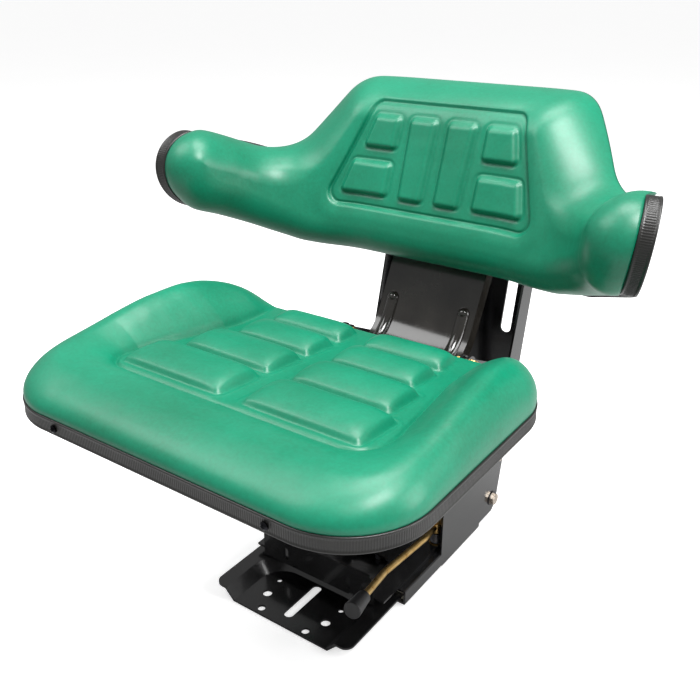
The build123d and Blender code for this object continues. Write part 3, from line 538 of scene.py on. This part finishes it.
def seat_surface(points):
    """Start height, top height, edge roll width and edge fullness of the seat cushion."""
    x, y = np.abs(points[:, 0]), points[:, 1]
    # the area of the pads falls toward the rear
    base = np.interp(y, [-327, -232, -160, -81, 0, 40], [340, 335, 329, 322, 315, 311])
    border_x = np.interp(y, [-240, -180, -60, 40],
                         [BORDER_FRONT_X, BORDER_FRONT_X, 153, BORDER_REAR_X])
    # distance outside the border, with a round front corner
    dx = x - (border_x - BORDER_CORNER)
    dy = (BORDER_FRONT_Y + BORDER_CORNER) - y
    beyond = np.hypot(np.maximum(dx, 0), np.maximum(dy, 0))
    out = beyond + np.minimum(np.maximum(dx, dy), 0) - BORDER_CORNER
    # the rim is highest along the sides and falls toward the front and the rear
    sideways = smooth((x - 110) / 95) * smooth((y + 325) / 215)
    crest = CREST_FRONT_Z + (CREST_SIDE_Z - CREST_FRONT_Z) * sideways
    crest -= 19 * smooth((y + 85) / 125) * sideways
    crest -= (crest - base - 5) * smooth((y + 5) / 45) * smooth((195 - x) / 60)
    climb = 24 + 42 * smooth((x - 130) / 60)
    rise = 1 - (1 - np.clip(out / climb, 0, 1)) ** 2
    top = base + (crest - base) * rise
    # the crease itself, then the pads, then the vinyl's own slight unevenness
    top -= 3.0 * np.exp(-(out / 3.4) ** 2) * smooth((25 - y) / 30)
    flat = np.stack([points[:, 0], y], axis=1)
    for front, rear, inner, outer in PAD_ROWS:
        corners = [(inner, front), (outer, front), (outer, rear), (inner, rear)]
        gap = signed(np.stack([x, y], axis=1), rounded(corners, [9] * 4))
        soft_edge = smooth(-gap / 6.5)
        top += PAD_RISE * pad_height(flat, front, rear, inner, outer) * soft_edge ** 0.62
        top += 0.6 * smooth((7.0 - gap) / 3.4) * smooth(gap / 2.0)
    top += 0.35 * ripple(flat, 38, 3.0) + 0.22 * ripple(flat, 15, 8.0)
    # the edge rolls over most gently in front, and tightly at the rear
    front_share = smooth((-y - 250) / 55) * smooth((235 - x) / 90)
    rear_share = smooth((y + 25) / 50) * smooth((200 - x) / 60)
    width = 38.0 + 26 * front_share - 20 * rear_share
    start = np.full(len(points), BAND_HIGH + 0.3)
    return start, np.maximum(top, start + 1.0), width, np.full(len(points), 0.98)


def upright(points, level):
    """Space position of plan points at a height."""
    return np.column_stack([points, level])


def build_seat_cushion():
    """The seat's vinyl cover with its pads and raised rim."""
    outline = seat_outline(760)
    along = middle_x(outline) * 0.62
    spine = np.stack([along, np.full(len(along), (SEAT_FRONT + SEAT_REAR) / 2)], axis=1)
    skirt = [(7.4, 303.0), (7.2, 311.8), (5.6, 313.4)]       # inset and height, behind the band
    cushion = padded_skin("seat_cushion", outline, spine, 62.0, 40, 96, skirt, upright, seat_surface,
                          materials["green_vinyl"])
    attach(cushion, "seat_frame")
    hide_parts("seat_foam", "seat_cover")


def build_seat_band():
    """The ribbed band round the seat's lower edge."""
    def outline_at(level):
        outline = resample(seat_outline(3200), [0, 1], 3200, closed=True)
        return outline, outward_normals(outline)

    band = edge_band("seat_edge_band", outline_at, upright, BAND_LOW, BAND_HIGH,
                     materials["textured_trim"])
    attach(band, "seat_frame")
    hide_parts("seat_trim")


build_seat_cushion()
build_seat_band()

# ---------------------------------------------------------------- backrest
BACK_Y, BACK_LEVEL, BACK_LEAN = 241.0, 479.0, 0.37
ARM_TURN = radians(72.0)
BACK_RADIUS = 220.0
ARM_TIP_X, ARM_TIP_Y = 325.0, 8.0
BACK_BAND = 16.0               # depth of the edge band
BACK_TOP, BACK_VALLEY, BACK_BOTTOM = 589.0, 482.0, 371.0
# the outline: y and z seen from the side, then x and z seen from the front
BACK_LOWER_EDGE = [(260, BACK_BOTTOM), (165, BACK_BOTTOM), (35, 431)]
ARM_TIP, ARM_UPPER_END = (4, 477), (64, 529)
BACK_UPPER_EDGE = [(318, 528), (230, BACK_VALLEY), (163, BACK_TOP), (0, BACK_TOP)]
ARM_UPPER_X = 309.0            # the front view's outline counts inside this x

run = (BACK_Y - ARM_TIP_Y) / sin(ARM_TURN)
reach_back = BACK_RADIUS * np.tan(ARM_TURN / 2)
FLAT_X = ARM_TIP_X - run * cos(ARM_TURN) - reach_back      # half width of the straight middle
BEND_Y = BACK_Y - BACK_RADIUS                              # centre of the bend
BEND_LENGTH = BACK_RADIUS * ARM_TURN


def back_point(s, n):
    """Plan position of arc length s along the back face and depth n in front of it."""
    side, s = np.sign(s), np.abs(s)
    turn = np.clip((s - FLAT_X) / BACK_RADIUS, 0, ARM_TURN)
    past = np.maximum(s - FLAT_X - BEND_LENGTH, 0)
    x = np.minimum(s, FLAT_X) + (BACK_RADIUS - n) * np.sin(turn) + past * cos(ARM_TURN)
    y = BEND_Y + (BACK_RADIUS - n) * np.cos(turn) - past * sin(ARM_TURN)
    return side * x, y


def back_place(points, depth):
    """Space position of flat points (s, z) at a depth in front of the back face."""
    x, y = back_point(points[:, 0], depth)
    return np.column_stack([x, y + BACK_LEAN * (points[:, 1] - BACK_LEVEL), points[:, 1]])


def s_from_x(x, n):
    """Arc length along the back face of the point at depth n whose plan x is given."""
    if x <= FLAT_X:
        return x
    share = (x - FLAT_X) / (BACK_RADIUS - n)
    if share < sin(ARM_TURN):
        return FLAT_X + BACK_RADIUS * asin(share)
    return FLAT_X + BEND_LENGTH + (x - FLAT_X - (BACK_RADIUS - n) * sin(ARM_TURN)) / cos(ARM_TURN)


def s_from_y(y, z, n):
    """Arc length along the back face of the point at depth n whose y and height are given."""
    level_y = y - BACK_LEAN * (z - BACK_LEVEL)
    share = (level_y - BEND_Y) / (BACK_RADIUS - n)
    if share > cos(ARM_TURN):
        return FLAT_X + BACK_RADIUS * acos(min(share, 1.0))
    drop = (BACK_RADIUS - n) * cos(ARM_TURN) - level_y + BEND_Y
    return FLAT_X + BEND_LENGTH + drop / sin(ARM_TURN)


def arc_through(a, b, c, steps=24):
    """Points on the circle through three 2-D points."""
    (ax, ay), (bx, by), (cx, cy) = a, b, c
    d = 2 * (ax * (by - cy) + bx * (cy - ay) + cx * (ay - by))
    a_far, b_far, c_far = ax ** 2 + ay ** 2, bx ** 2 + by ** 2, cx ** 2 + cy ** 2
    ux = (a_far * (by - cy) + b_far * (cy - ay) + c_far * (ay - by)) / d
    uy = (a_far * (cx - bx) + b_far * (ax - cx) + c_far * (bx - ax)) / d
    a0, a1, a2 = (atan2(py - uy, px - ux) for px, py in (a, b, c))
    sweep = (a2 - a0) % (2 * pi)
    if (a1 - a0) % (2 * pi) > sweep:
        sweep -= 2 * pi
    radius = hypot(ax - ux, ay - uy)
    return [(ux + radius * cos(a0 + sweep * k / steps), uy + radius * sin(a0 + sweep * k / steps))
            for k in range(steps + 1)]


def back_half_outline():
    """Half of the backrest's outline from the middle of its lower edge to the middle of its top,
    as rows of (s at depth 0, s at the band's depth, z)."""
    lower = rounded(BACK_LOWER_EDGE, [0, 60, 0], closed=False, step=3)
    tip = arc_through(BACK_LOWER_EDGE[-1], ARM_TIP, ARM_UPPER_END)
    side = [(y, z) for y, z in lower] + tip[1:]
    rows = [(0.0, 0.0, BACK_BOTTOM)]
    for y, z in side:
        s0, s1 = s_from_y(y, z, 0.0), s_from_y(y, z, BACK_BAND)
        if s0 > 5:                 # the lower edge's own start is already the first row
            rows.append((s0, s1, z))
    upper = rounded(BACK_UPPER_EDGE, [0, 40, 45, 0], closed=False, step=3)
    for x, z in upper:
        if x < ARM_UPPER_X:
            rows.append((s_from_x(x, 0.0), s_from_x(x, BACK_BAND), z))
    return np.array(rows)


def soften(rows, passes):
    """Even out small kinks in a closed, evenly sampled outline."""
    for _ in range(passes):
        rows = (np.roll(rows, 1, axis=0) + 2 * rows + np.roll(rows, -1, axis=0)) / 4
    return rows


def back_outline(count):
    """The whole outline: from the -X arm tip along the lower edge to the +X tip, back over the top."""
    half = back_half_outline()
    half = resample(half, [0, 2], 1200)
    tip = int(np.argmax(half[:, 0]))
    lower, upper = half[:tip + 1], half[tip:]
    flip = np.array([-1, -1, 1])
    under = np.vstack([(lower * flip)[::-1][:-1], lower])
    over = np.vstack([upper[:-1], (upper * flip)[::-1]])
    side = count // 2
    under = resample(under, [0, 2], side + 1)
    over = resample(over, [0, 2], side + 1)
    whole = np.vstack([under[:-1], over[:-1]])
    return soften(whole, 14 * count // 900)


PANEL = [(-154, 438), (154, 438), (106, 565), (-106, 565)]           # x, z of the sewn panel's corners
TALL_PAD = [(8.5, 451), (44, 451), (48, 551), (7, 551)]
UPPER_PAD = [(61.5, 510), (112.5, 510), (100.5, 551), (60.5, 551)]
LOWER_PAD = [(62, 452), (134.5, 452), (122.5, 494), (62, 494)]


def back_surface(points):
    """Start depth, top depth, edge roll width and edge fullness of the backrest cushion."""
    s, z = points[:, 0], points[:, 1]
    far = np.abs(s)
    middle, arm = 76.0, 64.0       # depth of the padding behind the back and along the arms
    top = middle - (middle - arm) * smooth((far - 140) / 190)
    # the panel lies lower than the vinyl round it, inside a groove with a soft shoulder
    x, _ = back_point(s, np.full(len(s), 66.0))
    face = np.stack([x, z], axis=1)
    shape = rounded(PANEL, [16, 16, 14, 14])
    edge = signed(face, shape)
    near = far < 240
    top -= np.where(near, 4.2 * smooth((4.0 - edge) / 9.0), 0)
    top -= np.where(near, 4.2 * np.exp(-(edge / 2.3) ** 2), 0)
    top += np.where(near, 1.6 * np.exp(-((edge - 14) / 11.0) ** 2), 0)
    for pad in (TALL_PAD, UPPER_PAD, LOWER_PAD):
        for side in (1, -1):           # reversed for the other side, so it still turns the same way
            corners = [(side * px, pz) for px, pz in pad][::side]
            gap = signed(face, rounded(corners, [6.5] * 4))
            top += 6.6 * pillow(gap, 7.5)
            top -= 1.1 * np.exp(-((gap - 1.8) / 1.8) ** 2) * (gap > -3)
    top += 0.4 * ripple(points, 45, 5.0) + 0.2 * ripple(points, 16, 11.0)
    width = 44.0 - 4 * smooth((far - 200) / 80)
    start = BACK_BAND + 0.4 - 13.0 * along_top(far, z)
    return start, top, width, np.full(len(s), 0.95)


def back_bulge(rows):
    """How far the vinyl stands out beyond the outline: over the band along the top, not at the arm
    ends or underneath."""
    far, z = np.abs(rows[:, 1]), rows[:, 2]
    under_arm = smooth((far - 190) / 90) * smooth((452 - far) / 60) * smooth((450 - z) / 20)
    return 3.0 * along_top(far, z) + 4.5 * under_arm + 1.0


def along_top(far, z):
    """1 along the backrest's top, where the vinyl hides the band, and 0 at the arm ends and below."""
    return smooth((z - 474) / 10) * smooth((432 - far) / 50)


def build_back_cushion():
    """The backrest's vinyl cover, wrapped round from arm tip to arm tip."""
    rows = back_outline(960)
    outline = np.stack([rows[:, 1], rows[:, 2]], axis=1)
    paired = middle_x(outline)
    limit = outline[:, 0].max() - 52.0
    along = paired * limit / paired.max()
    # the spine dips below the valley between the back and each arm
    dip = 45.0 * smooth((np.abs(along) - 140) / 90) * smooth((410 - np.abs(along)) / 110)
    spine = np.stack([along, 482.0 - dip], axis=1)
    skirt = [(7.6, 9.0), (7.5, 15.2), (5.2, 16.2)]           # inset and depth, behind the band
    cushion = padded_skin("backrest_cushion", outline, spine, 46.0, 34, 60, skirt, back_place,
                          back_surface, materials["green_vinyl"], back_bulge(rows))
    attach(cushion, "seat_frame")
    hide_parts("backrest_foam", "backrest_cover")


def build_back_band():
    """The ribbed band round the backrest, sunk under the vinyl along its top."""
    rows = back_outline(4200)

    def outline_at(depth):
        share = depth / BACK_BAND
        outline = np.stack([rows[:, 0] + (rows[:, 1] - rows[:, 0]) * share, rows[:, 2]], axis=1)
        normals = outward_normals(outline)
        sunk = 6.0 * along_top(np.abs(rows[:, 1]), rows[:, 2])
        return outline - normals * sunk[:, None], normals

    band = edge_band("backrest_edge_band", outline_at, back_place, 0.0, BACK_BAND,
                     materials["textured_trim"])
    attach(band, "seat_frame")
    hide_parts("backrest_trim")


build_back_cushion()
build_back_band()


# ---------------------------------------------------------------- suspension springs
def tube_along(name, line, radius, sides, material):
    """A round wire that follows points in space."""
    line = np.array(line)
    along = np.gradient(line, axis=0)
    along /= np.linalg.norm(along, axis=1)[:, None]
    side = np.cross(along[0], (1.0, 0.0, 0.1))
    rows = []
    for point, direction in zip(line, along):
        side = side - direction * (side @ direction)
        side /= np.linalg.norm(side)
        up = np.cross(direction, side)
        for k in range(sides):
            a = 2 * pi * k / sides
            rows.append(point + radius * (cos(a) * side + sin(a) * up))
    faces = ring_faces(len(line), sides)
    last = (len(line) - 1) * sides
    faces.append(tuple(range(sides))[::-1])
    faces.append(tuple(last + k for k in range(sides)))
    return mesh_object(name, rows, faces, material)


SPRING_WIRE_R, COIL_R = 1.75, 8.1                    # coil radius to the wire's middle
SPRING_PITCH = 2 * SPRING_WIRE_R + 0.35
LOWER_HOOK_R, UPPER_HOOK_R = 4.6, 6.2
# distances up the spring from the arm tube's middle, but the upper end of the coils from the bar's
LUG_EYE = 17.0
SPRING_COILS_LOW, SPRING_COILS_HIGH = 38.0, 26.0


def build_spring(name):
    """A close-wound extension spring with a hook at each end, in place of its plain sleeve."""
    x = node_middle(name)[0]
    anchor = np.array([x, *node_middle("spring_anchor_bar")[1:]])
    root = np.array([x, *node_middle("lower_arm_tube")[1:]])
    up = (anchor - root) / np.linalg.norm(anchor - root)
    across = np.array([1.0, 0.0, 0.0])
    over = np.cross(up, across)
    bottom, top = SPRING_COILS_LOW, np.linalg.norm(anchor - root) - SPRING_COILS_HIGH
    turns = int((top - bottom) / SPRING_PITCH)
    points = []
    for k in range(19):           # lower hook through the lug's eye
        a = radians(-150 + k * 15)
        lift = LUG_EYE + LOWER_HOOK_R * sin(a) + 2.0
        points.append(root + up * lift + across * (LOWER_HOOK_R * cos(a)))
    steps = 20
    for k in range(turns * steps + 1):
        a = 2 * pi * k / steps
        grow = min(1.0, k / steps, (turns * steps - k) / steps)
        radius = 2.0 + (COIL_R - 2.0) * grow ** 0.5
        height = bottom + (top - bottom) * k / (turns * steps)
        points.append(root + up * height + across * (radius * cos(a)) + over * (radius * sin(a)))
    for k in range(19):           # upper hook over the bar's groove
        a = radians(-100 + k * 16)
        points.append(anchor + up * (UPPER_HOOK_R * sin(a)) + over * (UPPER_HOOK_R * cos(a)))
    spring = tube_along(f"{name}_coils", points, SPRING_WIRE_R, 10, materials["dark_steel"])
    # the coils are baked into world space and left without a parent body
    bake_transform(spring)
    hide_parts(name)


for spring_name in ("suspension_spring_left", "suspension_spring_right"):
    build_spring(spring_name)


# ---------------------------------------------------------------- stage, lights and camera
FLOOR_SIZE = 60                # metres
FLOOR_GLOW = 0.58              # the camera's floor glows a little, so that it stays white
AROUND = 0.42                  # strength of the surround that lights the seat


def grey(level):
    """A grey as linear values for a shader."""
    return (level, level, level, 1.0)


def show_white_to_camera(tree, lit, seen, output_kind):
    """Send one shader to the camera and another to every other ray."""
    path = tree.nodes.new("ShaderNodeLightPath")
    mix = tree.nodes.new("ShaderNodeMixShader")
    tree.links.new(path.outputs["Is Camera Ray"], mix.inputs[0])
    tree.links.new(lit, mix.inputs[1])
    tree.links.new(seen, mix.inputs[2])
    target = next(n for n in tree.nodes if n.bl_idname == output_kind)
    tree.links.new(mix.outputs["Shader"], target.inputs["Surface"])


def build_floor():
    """A wide pale floor."""
    bpy.ops.mesh.primitive_plane_add(size=FLOOR_SIZE, location=(0, 0, 0))
    floor = bpy.context.object
    floor.name = "floor"
    material, tree, shader = new_material("floor")
    where = object_space(tree)
    mottle = noise_texture(tree, where, 2.0, 2)
    tree.links.new(ramp(tree, mottle, [(0.2, grey(0.50)), (0.8, grey(0.54))]),
                   shader.inputs["Base Color"])
    shader.inputs["Roughness"].default_value = 0.9
    seen = tree_node(tree, "ShaderNodeBsdfPrincipled", Roughness=0.9)
    tree.links.new(ramp(tree, mottle, [(0.2, grey(0.88)), (0.8, grey(0.90))]),
                   seen.inputs["Base Color"])
    seen.inputs["Emission Color"].default_value = grey(1.0)
    seen.inputs["Emission Strength"].default_value = FLOOR_GLOW
    show_white_to_camera(tree, shader.outputs["BSDF"], seen.outputs["BSDF"],
                         "ShaderNodeOutputMaterial")
    floor.data.materials.append(material)


def build_surround():
    """An even white surround."""
    world = bpy.data.worlds.new("studio")
    bpy.context.scene.world = world
    world.use_nodes = True
    tree = world.node_tree
    sky = tree.nodes["Background"]
    sky.inputs["Color"].default_value = grey(1.0)
    sky.inputs["Strength"].default_value = AROUND
    white = tree_node(tree, "ShaderNodeBackground", Strength=1.0)
    white.inputs["Color"].default_value = grey(1.0)
    show_white_to_camera(tree, sky.outputs["Background"], white.outputs["Background"],
                         "ShaderNodeOutputWorld")


def softbox(name, location, target, size, power):
    """An area light that points at a target. Metres and watts."""
    light = bpy.data.lights.new(name, "AREA")
    light.shape = "RECTANGLE"
    light.size, light.size_y = size
    light.energy = power
    obj = bpy.data.objects.new(name, light)
    obj.location = location
    obj.rotation_euler = (Vector(target) - Vector(location)).to_track_quat("-Z", "Y").to_euler()
    bpy.context.scene.collection.objects.link(obj)


CAMERA_AT, CAMERA_TARGET, CAMERA_LENS = (0.5202, -0.7448, 0.7184), (-0.007, 0.0, 0.305), 42.65


def build_camera():
    """The camera, in front of the seat, to its +X side and above it. Metres."""
    camera = bpy.data.cameras.new("camera")
    camera.lens = CAMERA_LENS
    camera.sensor_width = 36.0
    camera.clip_start, camera.clip_end = 0.01, 50
    obj = bpy.data.objects.new("camera", camera)
    obj.location = CAMERA_AT
    obj.rotation_euler = (Vector(CAMERA_TARGET) - obj.location).to_track_quat("-Z", "Y").to_euler()
    bpy.context.scene.collection.objects.link(obj)
    bpy.context.scene.camera = obj


build_floor()
build_surround()
softbox("key", (0.95, -0.35, 2.4), (0, 0, 0.35), (0.9, 0.9), 62)
softbox("side", (1.9, 0.5, 1.0), (0, 0, 0.3), (0.7, 1.5), 26)
softbox("fill", (-1.2, -0.6, 2.1), (0, 0, 0.35), (1.1, 1.1), 20)
softbox("top", (-0.1, 0.3, 2.4), (0, 0, 0.3), (1.1, 0.8), 30)
build_camera()
bpy.context.scene.view_settings.view_transform = "Standard"
